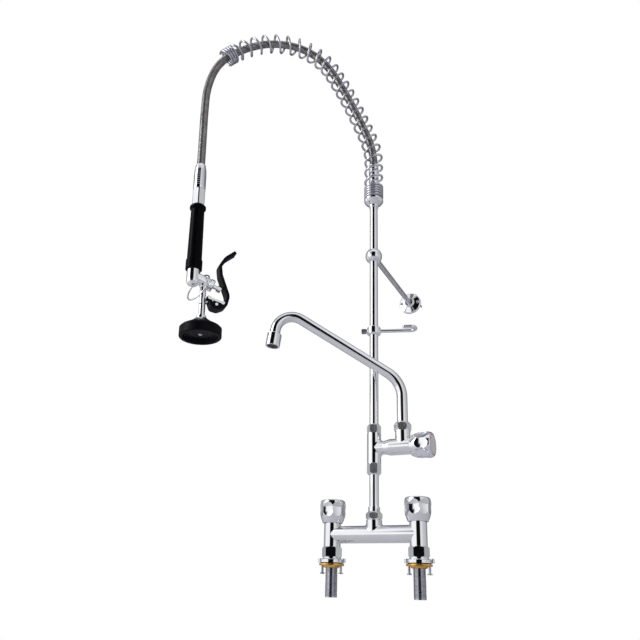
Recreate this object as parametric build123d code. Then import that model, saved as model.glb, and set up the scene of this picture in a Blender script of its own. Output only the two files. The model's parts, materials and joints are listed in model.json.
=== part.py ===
"""Two-pillar deck-mounted pre rinse faucet with an add-on spout, a sprung hose and a spray valve.

Millimetres. +Z is up and the origin is on the deck, midway between the two pillars. The pillars
stand on X, the riser is on the Z axis, the user stands at -Y and the wall is at +Y.
"""
import os
from math import atan2, cos, degrees, pi, radians, sin, sqrt, tan

from build123d import *

# Overall sizes
pillar_spacing = 152.4
bridge_height = 46.4
arm_height = 189.8
riser_top = 716.0
spout_reach = 234.0
wall_distance = 236.0
bracket_height = 575.0

# Fits
running_gap = 0.05
body_gap = 0.3
nut_turn = 16.0

# Inlets, below and on the deck
thread_d = 20.955
thread_pitch_d = 19.793
free_thread = 17.0
inlet_bore_d = 15.0
shank_length = 51.7
shank_flange_d = 24.8
shank_flange_t = 3.0
seal_t = 1.5
seal_d = 37.0
flange_d = 41.0
flange_t = 6.0
flange_boss_d = 31.0
flange_boss_h = 2.5
ear_d = 7.0
ear_h = 6.4
ear_reach = 21.4
lock_rim_d = 42.0
lock_rim_t = 2.6
lock_collar_d = 29.0
lock_collar_h = 3.4
fixing_spacing = 34.0
fixing_d = 4.0
fixing_length = 13.5
fixing_head_d = 7.6
fixing_head_t = 2.2
union_flats = 29.5
union_height = 16.7
union_lip = 2.2
union_engagement = 10.0
union_bevel = 2.2
thread_clearance = 0.5
shank_chamfer = 1.0
plate_chamfer = 1.2
ear_lift = 0.4
lock_wall = 2.2

# Bridge casting
pillar_d = 28.5
pillar_top = 64.3
union_spigot_d = 24.8
bridge_d = 28.0
bridge_bore_d = 17.0
outlet_d = 26.5
outlet_top = 68.8
outlet_spigot_d = 19.0
outlet_spigot_h = 9.0
outlet_fillet = 4.0

# Valve cartridge, spindle and knob, the same in all three valves
cartridge_d = 24.0
cartridge_depth = 26.0
cartridge_flange_h = 4.0
gland_d = 14.0
gland_top = 12.0
spindle_d = 8.0
spindle_low = -20.0
spindle_top = 24.0
disc_d = 17.0
disc_t = 2.0
knob_gap = 1.0
knob_height = 37.6
knob_foot_d = 33.6
knob_belly_d = 45.4
knob_belly = 23.5
knob_crown_d = 41.6
knob_flutes = 8
flute_depth = 1.9
index_d = 38.4
index_t = 1.4
knob_screw_d = 4.0
screw_bite = 10.0
seat_disc_t = 2.5
seat_port_d = 5.0
seat_port_offset = 4.5
chamber_drop_h = 6.0
flute_cutter_r = 36.0

# Riser
riser_d = 16.0
riser_bore_d = 13.6
riser_collar_d = 19.6
riser_collar_h = 8.0
riser_nut_flats = 24.6
riser_nut_h = 13.0
socket_depth = 10.0
nut_seat_gap = 0.4

# Add-on faucet body
barrel_d = 24.5
barrel_h = 52.8
arm_root_d = 23.0
arm_d = 28.0
arm_length = 67.5
arm_fillet = 6.0
spout_offset = 53.0
neck_d = 26.0
neck_top = 216.5
nut_wide_flats = 21.6
arm_swell = 20.0
arm_swell_end = 30.0
arm_way_d = 12.0
spout_way_d = 6.0
barrel_drop = 0.7
lower_nut_h = 18.9
upper_nut_h = 16.8
spigot_d = 19.0
spigot_h = 7.7
spout_nut_flats = 26.4
spout_nut_h = 15.0

# Spout, in its own upright plane
spout_angle = 32.0
spout_d = 19.0
spout_wall = 1.2
spout_low = 205.0
spout_knee = 307.2
spout_rise = 29.6
spout_knee_r = 50.0
spout_drop_lean = 6.0
spout_drop_r = 31.0
spout_end = 365.4
aerator_d = 26.0
aerator_h = 24.0
aerator_overlap = 15.0
aerator_lip = 3.0
aerator_rings = ((3.2, 6), (6.6, 12))
aerator_hole_d = 1.5
aerator_disc_t = 4.0

# Finger hook on the riser
hook_height = 405.6
hook_ring_d = 25.0
hook_ring_h = 14.4
hook_angle = 17.0
hook_rod_d = 6.8
hook_reach = 68.5
hook_bend_r = 9.5
hook_return = 11.0
thumb_d = 10.0
thumb_length = 9.0
thumb_screw_d = 4.0
thumb_grooves = 16
thumb_groove_d = 1.2
hook_boss = 1.5

# Wall bracket
ball_d = 33.0
ball_h = 23.0
bracket_rod_d = 10.5
wall_flange_d = 50.0
wall_flange_t = 8.0
wall_flange_rim = 3.0
wall_socket_d = 17.0
wall_screw_spacing = 37.0
wall_screw_d = 4.0
wall_screw_neck_d = 3.6
wall_screw_neck = 1.0
wall_screw_head_d = 8.0
wall_screw_length = 30.0
wall_screw_point = 8.0
wall_head_seat = 4.0
wall_head_h = 2.5
rod_clearance = 3.0
set_screw_d = 4.0
set_screw_socket = 2.0

# Spring and hose, in the upright plane that holds the whole arc
arc_angle = 32.0
cup_low = 690.0
cup_d = 39.5
cup_floor = 708.0
cup_foot_d = 19.0
cup_sleeve_t = 1.25
ferrule_seat = 1.0
boss_top = 733.0
spring_mean_d = 35.2
wire_d = 4.8
closed_pitch = 6.0
open_pitch = 25.5
closed_low = 5
open_turns = 23
closed_far = 4
hose_d = 17.0
hose_bore_d = 11.0
hose_nut_d = 23.0
hose_nut_top = 745.0
hose_start = 795.0
ferrule_d = 20.4
ferrule_grooves = 6
ferrule_pitch = 7.0
spigot_depth = 16.0
hose_route = [
    (0, hose_start), (0, 836), (26, 903), (62, 985), (110, 1072), (170, 1112), (243, 1114),
    (305, 1083), (352, 1037), (370, 965), (368, 890), (364, 820), (360.6, 752),
]

# Handset, measured down its own axis from the end of the hose
lever_yaw = 18.0
far_ferrule_d = 25.0
far_ferrule_length = 60.0
far_ferrule_ribs = 11
far_ferrule_pitch = 4.6
far_groove_w = 1.3
far_groove_d = 2.3
tail_d = 12.0
tail_length = 22.0
handle_nut_flats = 24.0
handle_nut_length = 37.0
bead_d = 32.0
bead_h = 11.0
grip_d_top = 26.4
grip_d_low = 28.6
grip_end = 220.0
cuff_d = 31.6
cuff_end = 242.0
stem_tube_d = 17.0
valve_d = 25.0
valve_bottom = 264.0
chamber_d = 21.0
chamber_drop = 20.0
chamber_length = 33.0
bonnet_d = 24.0
bonnet_length = 9.0
bonnet_plug = 6.0
chamber_lift = 9.5
valve_stem_d = 8.0
button_d = 13.0
button_length = 7.8
valve_bore_d = 13.0
valve_floor = 8.0
stem_head = 22.0
stem_head_t = 4.0
button_gap = 8.2
return_turn = 3.0
return_wire_d = 0.9
knuckle_d = 16.0
neck_offset = 20.6
spray_neck_d = 12.0
spray_neck_end = 345.0
lever_t = 6.0
lever_width = 20.0
lever_cheek = [(39.0, 303.0), (58.0, 305.0), (64.5, 306.5), (50.0, 315.0), (39.5, 313.0)]
plate_t = 1.4
plate_waist = 4.4
plate_eye_d = 7.2
plate_end = (57.5, 304.5)
rivet_d = 3.0
rivet_head_d = 5.6
rivet_place = (45.5, 309.5)
pivot_d = 5.0
pivot_offset = 31.0
pivot_depth = 299.0
lever_bends = [4.0, 7.0, 12.0, 20.0, 16.0, 14.0, 30.0]
lever_route = [
    (33.0, 300.0), (38.0, 314.5), (50.0, 316.5), (63.5, 309.0), (68.0, 288.0), (52.0, 246.0),
    (49.5, 226.0), (60.0, 207.0), (79.0, 190.0),
]
ring_d = 58.0
ring_wire_d = 3.0
ring_offset = 11.6
ring_depth = 276.3
ring_lean = 21.0
ring_yaw = 22.0
bell_d = 62.0
bell_top = 341.0
bell_low = 370.0
bell_wall = 1.6
bumper_d = 78.0
bumper_top = 347.0
bumper_low = 377.0
face_t = 3.0
face_holes = 24
face_hole_d = 2.0
face_screw_d = 8.0
face_screw_h = 2.0
neck_way_d = 7.0

left = -pillar_spacing / 2
right = pillar_spacing / 2


# Shared shapes -----------------------------------------------------------------------------------
def rod(diameter, low, high):
    """An upright solid cylinder between two heights."""
    align = (Align.CENTER, Align.CENTER, Align.MIN)
    return Pos(0, 0, low) * Cylinder(diameter / 2, high - low, align=align)


def hexagon(flats, low, high):
    """An upright hexagonal prism, sized across its flats."""
    outline = RegularPolygon(flats / 2, 6, major_radius=False, rotation=nut_turn)
    return Pos(0, 0, low) * extrude(outline, high - low)


def turned(*outline):
    """A solid of revolution about Z from a closed outline of (radius, height) points."""
    return revolve(Plane.XZ * make_face(Polyline(*outline, close=True)), Axis.Z)


def chamfered_hex(flats, low, high, low_d, high_d, bevel):
    """A hexagon nut whose corners are turned down to low_d and high_d at its two ends."""
    corner = flats / sqrt(3) + 0.3
    limit = turned(
        (0, low), (low_d / 2, low), (corner, low + bevel), (corner, high - bevel),
        (high_d / 2, high), (0, high),
    )
    return hexagon(flats, low, high) & limit


def pair(shape, spacing=pillar_spacing):
    """Two copies of one shape, at both ends of a spacing along X."""
    return [Pos(-spacing / 2, 0, 0) * shape, Pos(spacing / 2, 0, 0) * shape]


# Deck fixings ------------------------------------------------------------------------------------
flange_top = seal_t + flange_t + flange_boss_h
union_top = flange_top + union_height
spigot_low = union_top - union_engagement


def shank():
    """The threaded inlet tube, with the flange that its union nut pulls up."""
    flange_low = flange_top + union_lip
    body = rod(thread_d, -shank_length, -free_thread) + rod(thread_pitch_d, -free_thread, flange_low)
    body += rod(shank_flange_d, flange_low, flange_low + shank_flange_t)
    body -= rod(inlet_bore_d, -shank_length, flange_low + shank_flange_t)
    return chamfer(body.edges().group_by(Axis.Z)[0].sort_by(SortBy.RADIUS)[-1], shank_chamfer)


def union_nut():
    """The hexagon that joins a pillar to its shank."""
    nut = chamfered_hex(union_flats, flange_top, union_top, union_flats, union_flats, union_bevel)
    nut -= rod(thread_d + thread_clearance, flange_top, union_top)
    return nut - rod(union_spigot_d, flange_top + union_lip, union_top)


def deck_flange():
    """The chrome plate on the deck, with its two small ears."""
    plate = rod(flange_d, seal_t, seal_t + flange_t)
    plate = chamfer(plate.edges().group_by(Axis.Z)[-1], plate_chamfer)
    plate += rod(flange_boss_d, seal_t + flange_t, flange_top)
    for ear in pair(rod(ear_d, seal_t + ear_lift, seal_t + ear_lift + ear_h), 2 * ear_reach):
        plate += ear
    return plate - rod(thread_d + thread_clearance, 0, flange_top)


def deck_seal():
    """The rubber ring between a deck flange and the deck."""
    return rod(seal_d, 0, seal_t) - rod(thread_d + thread_clearance, 0, seal_t)


def lock_nut():
    """The brass nut under the deck: a wide thin rim that tapers into the thread."""
    cone_low = -lock_rim_t - lock_collar_h
    nut = turned(
        (thread_pitch_d / 2, 0), (lock_rim_d / 2, 0), (lock_rim_d / 2, -lock_rim_t),
        (lock_collar_d / 2, -lock_rim_t), (thread_d / 2 + lock_wall, cone_low),
        (thread_pitch_d / 2, cone_low),
    )
    for hole in pair(rod(fixing_d, -lock_rim_t, 0), fixing_spacing):
        nut -= hole
    return nut


def fixing_screw():
    """One small screw through the lock nut's rim, its head downwards."""
    screw = rod(fixing_d, -fixing_length, 0)
    return screw + rod(fixing_head_d, -fixing_length - fixing_head_t, -fixing_length)


def fixing_screws():
    """Both screws of both lock nuts."""
    screws = []
    for side in (left, right):
        screws += [Pos(side, 0, 0) * screw for screw in pair(fixing_screw(), fixing_spacing)]
    return Compound(children=screws)


# Bridge ------------------------------------------------------------------------------------------
def bridge_body():
    """The one casting: two pillars, the bridge between them and its middle outlet."""
    pillar = rod(pillar_d, union_top, pillar_top) + rod(union_spigot_d, spigot_low, union_top)
    bridge = Pos(0, 0, bridge_height) * Rot(0, 90, 0) * Cylinder(bridge_d / 2, pillar_spacing)
    neck = rod(outlet_d, bridge_height, outlet_top)
    body = bridge + neck
    seam = body.edges().filter_by(GeomType.CIRCLE, reverse=True)
    seam = seam.filter_by(lambda edge: abs(edge.center().X) < outlet_d and edge.length > outlet_d)
    body = fillet(seam.filter_by(GeomType.LINE, reverse=True), outlet_fillet)
    for side in pair(pillar):
        body += side
    body += rod(outlet_spigot_d, outlet_top, outlet_top + outlet_spigot_h)
    for side in pair(pillar_bores()):
        body -= side
    body -= Pos(0, 0, bridge_height) * Rot(0, 90, 0) * Cylinder(bridge_bore_d / 2, pillar_spacing)
    return body - rod(riser_bore_d, bridge_height, outlet_top + outlet_spigot_h)


def pillar_bores():
    """The way through one pillar: the inlet, then the seat of its cartridge."""
    seat = pillar_top - cartridge_depth
    return rod(inlet_bore_d, spigot_low, seat) + rod(cartridge_d, seat, pillar_top)


# Valves, measured from the end face of their housing ----------------------------------------------
knob_low = knob_gap
knob_top = knob_gap + knob_height


def cartridge():
    """The fixed brass housing of a valve, with its gland."""
    body = rod(cartridge_d, -cartridge_depth, cartridge_flange_h)
    body += rod(gland_d, cartridge_flange_h, gland_top)
    chamber_top = spindle_low + chamber_drop_h
    body -= rod(disc_d + 1.0, -cartridge_depth, chamber_top)
    seat_top = seat_disc_t - cartridge_depth
    body += rod(disc_d + 1.0, -cartridge_depth, seat_top)
    body -= Pos(seat_port_offset, 0, 0) * rod(seat_port_d, -cartridge_depth, seat_top)
    return body - rod(spindle_d + 2 * running_gap, chamber_top, gland_top)


def spindle():
    """The turning stem and the disc that it carries."""
    stem = rod(spindle_d, spindle_low, spindle_top)
    stem += rod(disc_d, spindle_low - disc_t, spindle_low)
    return stem - rod(knob_screw_d, spindle_top - screw_bite, spindle_top)


def knob_blank():
    """The barrel shape that the knob's flutes are cut in."""
    foot, belly, crown = knob_foot_d / 2, knob_belly_d / 2, knob_crown_d / 2
    side = ThreePointArc((foot, knob_low), (belly - 1.1, knob_low + 14), (belly, knob_belly))
    shoulder = ThreePointArc((belly, knob_belly), (belly - 0.6, knob_top - 7), (crown, knob_top - 1.5))
    top = Polyline((crown, knob_top - 1.5), (crown - 1.5, knob_top), (0, knob_top))
    base = Polyline((0, knob_top), (0, knob_low), (foot, knob_low))
    return revolve(Plane.XZ * make_face(side + shoulder + top + base), Axis.Z)


def knob():
    """The knob: eight long hollow flutes round a barrel, bored for its stem and its screw."""
    body = knob_blank()
    reach = knob_belly_d / 2 * cos(pi / knob_flutes) - flute_depth + flute_cutter_r
    cutter = Pos(0, 0, knob_belly - 2) * Sphere(flute_cutter_r)
    for index in range(knob_flutes):
        body -= Rot(0, 0, 360 * index / knob_flutes) * Pos(reach, 0, 0) * cutter
    body -= rod(cartridge_d + 3.0, knob_low, cartridge_flange_h + 4)
    body -= rod(gland_d + 2.0, cartridge_flange_h + 4, gland_top + 2)
    body -= rod(spindle_d, gland_top + 2, spindle_top)
    body -= rod(knob_screw_d, spindle_top, spindle_top + 3)
    body -= rod(2.4 * knob_screw_d, spindle_top + 3, knob_top)
    return body - rod(index_d, knob_top - index_t, knob_top)


def knob_screw():
    """The screw that holds a knob on its stem, under the index cap."""
    screw = rod(knob_screw_d, spindle_top - screw_bite, spindle_top + 3)
    return screw + rod(1.8 * knob_screw_d, spindle_top + 3, spindle_top + 5.5)


def index_cap():
    """The round cap in a knob's crown, with the peg that holds it in."""
    cap = rod(index_d, knob_top - index_t, knob_top + 0.2)
    cap = chamfer(cap.edges().group_by(Axis.Z)[-1], 0.5)
    return cap + rod(2.4 * knob_screw_d, spindle_top + 7, knob_top - index_t)


# Riser and add-on faucet --------------------------------------------------------------------------
barrel_low = arm_height - barrel_h / 2 - barrel_drop
barrel_top = barrel_low + barrel_h


def riser_nut():
    """The hexagon that holds the lower riser on the bridge."""
    low = outlet_top + nut_seat_gap
    high = low + riser_nut_h
    nut = chamfered_hex(riser_nut_flats, low, high, 24.0, 21.0, 4.0)
    nut -= rod(riser_d + 2 * running_gap, low, high)
    return nut - rod(outlet_spigot_d, low, outlet_top + outlet_spigot_h + 2)


def lower_riser():
    """The short tube under the add-on faucet, with its flange and collar."""
    spigot_top = outlet_top + outlet_spigot_h
    nut_top = outlet_top + nut_seat_gap + riser_nut_h
    tube = rod(riser_d, spigot_top, barrel_low + socket_depth)
    tube += rod(outlet_spigot_d - nut_seat_gap, spigot_top, spigot_top + 2)
    tube += rod(riser_collar_d, nut_top, nut_top + riser_collar_h)
    return tube - rod(riser_bore_d, spigot_top, barrel_low + socket_depth)


def addon_body():
    """The add-on faucet: an upright barrel, an arm with a valve seat, and a spout neck."""
    barrel = rod(barrel_d, barrel_low, barrel_top)
    arm = Pos(0, 0, arm_height) * Rot(0, 90, 0) * rod(arm_root_d, 0, arm_length)
    body = barrel + arm
    seam = body.edges().filter_by(lambda edge: abs(edge.center().X - barrel_d / 3) < barrel_d / 6)
    body = fillet(seam, arm_fillet)
    swell = turned(
        (0, arm_swell), (arm_root_d / 2, arm_swell), (arm_d / 2, arm_swell_end),
        (arm_d / 2, arm_length), (0, arm_length),
    )
    body += Pos(0, 0, arm_height) * Rot(0, 90, 0) * swell
    body += Pos(spout_offset, 0, 0) * rod(neck_d, arm_height, neck_top)
    body += rod(spigot_d, barrel_low - spigot_h, barrel_low)
    body += rod(spigot_d, barrel_top, barrel_top + spigot_h)
    return body - addon_ways()


def addon_ways():
    """Everything bored out of the add-on faucet."""
    ways = rod(riser_bore_d, barrel_low - spigot_h, barrel_top + spigot_h)
    ways += rod(riser_d, barrel_low - spigot_h, barrel_low + socket_depth)
    ways += rod(riser_d, barrel_top - socket_depth, barrel_top + spigot_h)
    seat = arm_length - cartridge_depth
    along = rod(arm_way_d, 0, seat) + rod(cartridge_d, seat, arm_length)
    ways += Pos(0, 0, arm_height) * Rot(0, 90, 0) * along
    spout_way = rod(spout_d + 2 * running_gap, spout_low - 1, neck_top)
    spout_way += rod(spout_way_d, arm_height, spout_low - 1)
    return ways + Pos(spout_offset, 0, 0) * spout_way


def lower_nut():
    """The tapered hexagon under the add-on barrel."""
    low = barrel_low - lower_nut_h
    nut = chamfered_hex(nut_wide_flats, low, barrel_low, 19.2, 24.0, 3.5)
    return nut - rod(riser_d, low, barrel_low) - rod(spigot_d, barrel_low - spigot_h - 1, barrel_low)


def upper_nut():
    """The tapered hexagon over the add-on barrel."""
    high = barrel_top + upper_nut_h
    nut = chamfered_hex(nut_wide_flats, barrel_top, high, 23.0, 18.0, 4.0)
    return nut - rod(riser_d, barrel_top, high) - rod(spigot_d, barrel_top, barrel_top + spigot_h + 1)


def upper_riser():
    """The tall tube from the add-on faucet to the spring."""
    low = barrel_top - socket_depth
    return rod(riser_d, low, riser_top) - rod(riser_bore_d, low, riser_top)


# Spout --------------------------------------------------------------------------------------------
spout_heading = 180 + spout_angle
spout_plane = Plane(
    origin=(spout_offset, 0, 0),
    x_dir=(cos(radians(spout_heading)), sin(radians(spout_heading)), 0),
    z_dir=(sin(radians(spout_heading)), -cos(radians(spout_heading)), 0),
)


def spout_nut():
    """The round-shouldered nut that the spout turns in."""
    high = neck_top + spout_nut_h
    nut = chamfered_hex(spout_nut_flats, neck_top, high, 28.5, 24.0, 4.5)
    nut -= rod(spout_d + 2 * running_gap, neck_top, high)
    return Pos(spout_offset, 0, 0) * nut


def spout_corners():
    """The spout's centreline corners, in its plane: reach and height."""
    slope = tan(radians(spout_rise))
    lean = tan(radians(spout_drop_lean))
    corner = (spout_reach + lean * (spout_end - spout_knee)) / (1 + lean * slope)
    crest = (corner, spout_knee + slope * corner)
    end = (corner + lean * (crest[1] - spout_end), spout_end)
    return [(0, spout_low), (0, spout_knee), crest, end]


def spout_path():
    """The spout's centreline."""
    return FilletPolyline(*spout_corners(), radius=[spout_knee_r, spout_drop_r])


def spout_tube():
    """The swivelling spout, a bent tube."""
    start = Pos(0, spout_low, 0) * Rot(-90, 0, 0)
    solid = sweep(start * Circle(spout_d / 2), path=spout_path())
    solid -= sweep(start * Circle(spout_d / 2 - spout_wall), path=spout_path())
    return spout_plane * solid


def spout_tip():
    """The plane at the spout's end, looking out along it."""
    path = spout_path()
    place = spout_plane * Location(Plane(origin=path @ 1, z_dir=path % 1))
    return place


def aerator_shell():
    """The sleeve screwed on the spout's end."""
    low = -aerator_overlap
    high = aerator_h - aerator_overlap
    shell = rod(aerator_d, low, high)
    shell = chamfer(shell.edges().group_by(Axis.Z)[0], 1.2)
    shell -= rod(spout_d, low, 0)
    return spout_tip() * (shell - rod(aerator_d - 2 * aerator_lip, 0, high))


def aerator_insert():
    """The perforated disc inside the sleeve."""
    disc = rod(aerator_d - 2 * aerator_lip, 0, aerator_disc_t)
    for ring, count in aerator_rings:
        for index in range(count):
            angle = 2 * pi * index / count
            hole = rod(aerator_hole_d, 0, aerator_disc_t)
            disc -= Pos(ring * cos(angle), ring * sin(angle), 0) * hole
    return spout_tip() * disc


# Finger hook --------------------------------------------------------------------------------------
hook_middle = hook_height + hook_ring_h / 2
hook_place = Pos(0, 0, hook_middle) * Rot(0, 0, hook_angle)


def finger_hook():
    """The ring round the riser with its arm, which ends in an open hook."""
    high = hook_ring_h / 2
    ring = rod(hook_ring_d, -high, high)
    ring = chamfer(ring.edges(), 1.0)
    boss = Rot(0, -90, 0) * rod(thumb_d - 1, 0, hook_ring_d / 2 + hook_boss)
    path = Polyline((hook_ring_d / 2 - hook_boss, 0), (hook_reach, 0))
    bend = CenterArc((hook_reach, -hook_bend_r), hook_bend_r, 90, -180)
    back = Polyline((hook_reach, -2 * hook_bend_r), (hook_reach - hook_return, -2 * hook_bend_r))
    start = Plane(origin=(hook_ring_d / 2 - hook_boss, 0, 0), z_dir=(1, 0, 0))
    arm = sweep(start * Circle(hook_rod_d / 2), path=Wire(path.edges() + bend.edges() + back.edges()))
    end = Pos(hook_reach - hook_return, -2 * hook_bend_r, 0) * Sphere(hook_rod_d / 2)
    body = ring + boss + arm + end - rod(riser_d + 2 * running_gap, -high, high)
    thread = Rot(0, -90, 0) * rod(thumb_screw_d + 2 * running_gap, 0, hook_ring_d)
    return hook_place * (body - thread)


def thumb_screw():
    """The knurled screw that clamps the hook's ring."""
    low = hook_ring_d / 2 + hook_boss + body_gap
    head = rod(thumb_d, low, low + thumb_length)
    head = chamfer(head.edges(), 0.8)
    groove = Pos(thumb_d / 2 + thumb_groove_d / 4, 0, 0) * rod(thumb_groove_d, low, low + thumb_length)
    for index in range(thumb_grooves):
        head -= Rot(0, 0, 360 * index / thumb_grooves) * groove
    shaft = rod(thumb_screw_d, riser_d / 2 + body_gap, low)
    return hook_place * Rot(0, -90, 0) * (head + shaft)


# Wall bracket -------------------------------------------------------------------------------------
rod_start = riser_d / 2 + rod_clearance


def along_wall_arm(shape):
    """Turn an upright shape so that its +Z points at the wall."""
    return Pos(0, 0, bracket_height) * Rot(-90, 0, 0) * shape


def bracket_collar():
    """The flattened ball on the riser that the wall rod screws into."""
    half = ball_h / 2
    ball = Sphere(ball_d / 2) & rod(ball_d, -half, half)
    ball -= rod(riser_d, -half, half)
    ball = Pos(0, 0, bracket_height) * ball
    ball -= along_wall_arm(rod(bracket_rod_d, rod_start, ball_d))
    return ball - Pos(0, 0, bracket_height) * Rot(90, 0, 0) * rod(set_screw_d, riser_d / 2, ball_d)


def collar_set_screw():
    """The grub screw opposite the rod."""
    screw = rod(set_screw_d, riser_d / 2, ball_d / 2 - 1.0)
    socket = hexagon(set_screw_socket, ball_d / 2 - 3.0, ball_d / 2 - 1.0)
    return Pos(0, 0, bracket_height) * Rot(90, 0, 0) * (screw - socket)


def bracket_rod():
    """The round rod to the wall."""
    return along_wall_arm(rod(bracket_rod_d, rod_start, wall_distance - wall_flange_rim))


def wall_flange():
    """The dished plate on the wall, with a socket for the rod and two screw holes."""
    face = wall_distance
    domed = turned(
        (0, face), (wall_flange_d / 2, face), (wall_flange_d / 2, face - wall_flange_rim),
        (wall_flange_d / 2 - 2, face - wall_flange_rim - 1.6),
        (wall_socket_d / 2 + 3, face - wall_flange_t),
        (wall_socket_d / 2, face - wall_flange_t - 4), (0, face - wall_flange_t - 4),
    )
    domed -= rod(bracket_rod_d, face - wall_flange_t - 4, face - wall_flange_rim)
    for hole in pair(rod(wall_screw_neck_d, face - 3 * wall_flange_t, face), wall_screw_spacing):
        domed -= hole
    seat_cut = rod(wall_screw_head_d, face - 2 * wall_flange_t, face - wall_head_seat)
    for seat in pair(seat_cut, wall_screw_spacing):
        domed -= seat
    return along_wall_arm(domed)


def wall_screws():
    """The two wood screws through the wall flange."""
    face = wall_distance
    seat = face - wall_head_seat
    head = rod(wall_screw_head_d, seat - wall_head_h, seat)
    head = chamfer(head.edges().group_by(Axis.Z)[0], 0.9)
    head -= Pos(0, 0, seat - wall_head_h) * (Box(1.4, 5.0, 1.4) + Box(5.0, 1.4, 1.4))
    shaft = turned(
        (0, seat), (wall_screw_neck_d / 2, seat), (wall_screw_neck_d / 2, face + wall_screw_neck),
        (wall_screw_d / 2, face + wall_screw_neck),
        (wall_screw_d / 2, face + wall_screw_length - wall_screw_point), (0, face + wall_screw_length),
    )
    return Compound(children=pair(along_wall_arm(head + shaft), wall_screw_spacing))


# Spring and hose ----------------------------------------------------------------------------------
arc_x = (-cos(radians(arc_angle)), -sin(radians(arc_angle)), 0)
arc_plane = Plane(origin=(0, 0, 0), x_dir=arc_x, z_dir=(arc_x[1], -arc_x[0], 0))


def corner_radii(corners):
    """The largest tangent arc at each corner that leaves its two runs a little straight."""
    points = [Vector(*corner) for corner in corners]
    radii = []
    for before, corner, after in zip(points, points[1:], points[2:]):
        turn = radians((corner - before).get_angle(after - corner))
        shorter = min((corner - before).length, (after - corner).length)
        radii.append(0.45 * shorter / tan(turn / 2))
    return radii


def arc_path(corners):
    """A line of straight runs and tangent arcs through the corners of a route."""
    return FilletPolyline(*corners, radius=corner_radii(corners))


def spring_cup():
    """The flared cup on the riser that carries the spring, with the boss inside the coils."""
    boss_r = (spring_mean_d - wire_d) / 2
    sleeve_r = riser_d / 2 + cup_sleeve_t
    sleeve_top = riser_top + ferrule_seat
    cup = turned(
        (sleeve_r, cup_low), (cup_foot_d / 2, cup_low), (cup_foot_d / 2 + 0.6, cup_low + 4),
        (cup_d / 2 - 2.5, cup_floor - 7), (cup_d / 2, cup_floor - 3), (cup_d / 2, cup_floor),
        (boss_r, cup_floor), (boss_r, boss_top), (boss_r - 2.6, boss_top), (boss_r - 2.6, sleeve_top),
        (sleeve_r, sleeve_top),
    )
    bore = riser_d / 2 + running_gap
    return cup + turned((bore, cup_low), (sleeve_r, cup_low), (sleeve_r, sleeve_top), (bore, sleeve_top))


def half_turn_lengths():
    """How far along its centreline the spring is at each half turn."""
    lengths = [wire_d / 2]
    groups = ((closed_low, closed_pitch), (open_turns, open_pitch), (closed_far, closed_pitch))
    for turns, pitch in groups:
        for _ in range(2 * turns):
            lengths.append(lengths[-1] + pitch / 2)
    return lengths


def spring_line():
    """The spring's wire as half circles, each tangent to the next, along the bent centreline."""
    centre = arc_path([(0, cup_floor)] + hose_route[1:10])
    whole = centre.length
    seats = []
    for index, length in enumerate(half_turn_lengths()):
        along = centre % (length / whole)
        side = spring_mean_d / 2 * (-1) ** index
        seats.append(centre @ (length / whole) + Vector(-along.Y, along.X, 0) * side)
    arcs = []
    for index, (start, end) in enumerate(zip(seats, seats[1:])):
        bulge = Vector(0, 0, (-1) ** index * (end - start).length / 2)
        arcs.append(ThreePointArc(start, (start + end) / 2 + bulge, end))
    return arcs


def support_spring():
    """The wire spring that holds the hose up in an arc."""
    arcs = spring_line()
    start = Plane(origin=arcs[0] @ 0, z_dir=arcs[0] % 0)
    wire = Wire([arc.edge() for arc in arcs])
    return arc_plane * sweep(start * Circle(wire_d / 2), path=wire)


def hose_top_ferrule():
    """The fitting on the riser's end: a spigot, a nut and the crimped ferrule on the hose."""
    spigot_d_in = riser_bore_d - 2 * running_gap
    seat = riser_top + ferrule_seat
    fitting = rod(spigot_d_in, riser_top - spigot_depth, seat)
    fitting += chamfered_hex(hose_nut_d - 2, seat, hose_nut_top, 21.0, 21.0, 2.0)
    fitting += rod(ferrule_d, hose_nut_top, hose_start)
    for index in range(ferrule_grooves):
        height = hose_nut_top + 8 + ferrule_pitch * index
        fitting -= rod(ferrule_d, height, height + 1.4) - rod(ferrule_d - 1.2, height, height + 1.4)
    return fitting - rod(hose_bore_d - 2, riser_top - spigot_depth, hose_start)


def hose():
    """The hose, from its upper ferrule to its lower one."""
    path = arc_path(hose_route)
    first = Vector(*hose_route[1]) - Vector(*hose_route[0])
    start = Plane(origin=hose_route[0], z_dir=first)
    ring = Circle(hose_d / 2) - Circle(hose_bore_d / 2)
    tube = sweep(start * ring, path=path)
    section = pi / 4 * (hose_d ** 2 - hose_bore_d ** 2)
    ratio = tube.volume / section / path.length
    print("hose length", round(path.length, 1), "volume ratio", round(ratio, 4))
    print("hose radii", [round(radius) for radius in corner_radii(hose_route)])
    return arc_plane * tube


# Handset ------------------------------------------------------------------------------------------
def handset_plane():
    """The handset's own frame: origin at the hose's end, +Z up the handle, +X to the lever."""
    end = arc_plane.from_local_coords(Vector(*hose_route[-1]))
    up = (arc_plane.from_local_coords(Vector(*hose_route[-2])) - end).normalized()
    heading = radians(arc_angle + lever_yaw)
    ahead = Vector(cos(heading), sin(heading), 0)
    ahead = ahead - up * ahead.dot(up)
    return Plane(origin=end, x_dir=ahead, z_dir=up)


handset = handset_plane()
nut_low = -far_ferrule_length - body_gap - handle_nut_length
chamber_start = Pos(0, 0, -valve_bottom + chamber_lift) * Rot(0, 90 + chamber_drop, 0)


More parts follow.
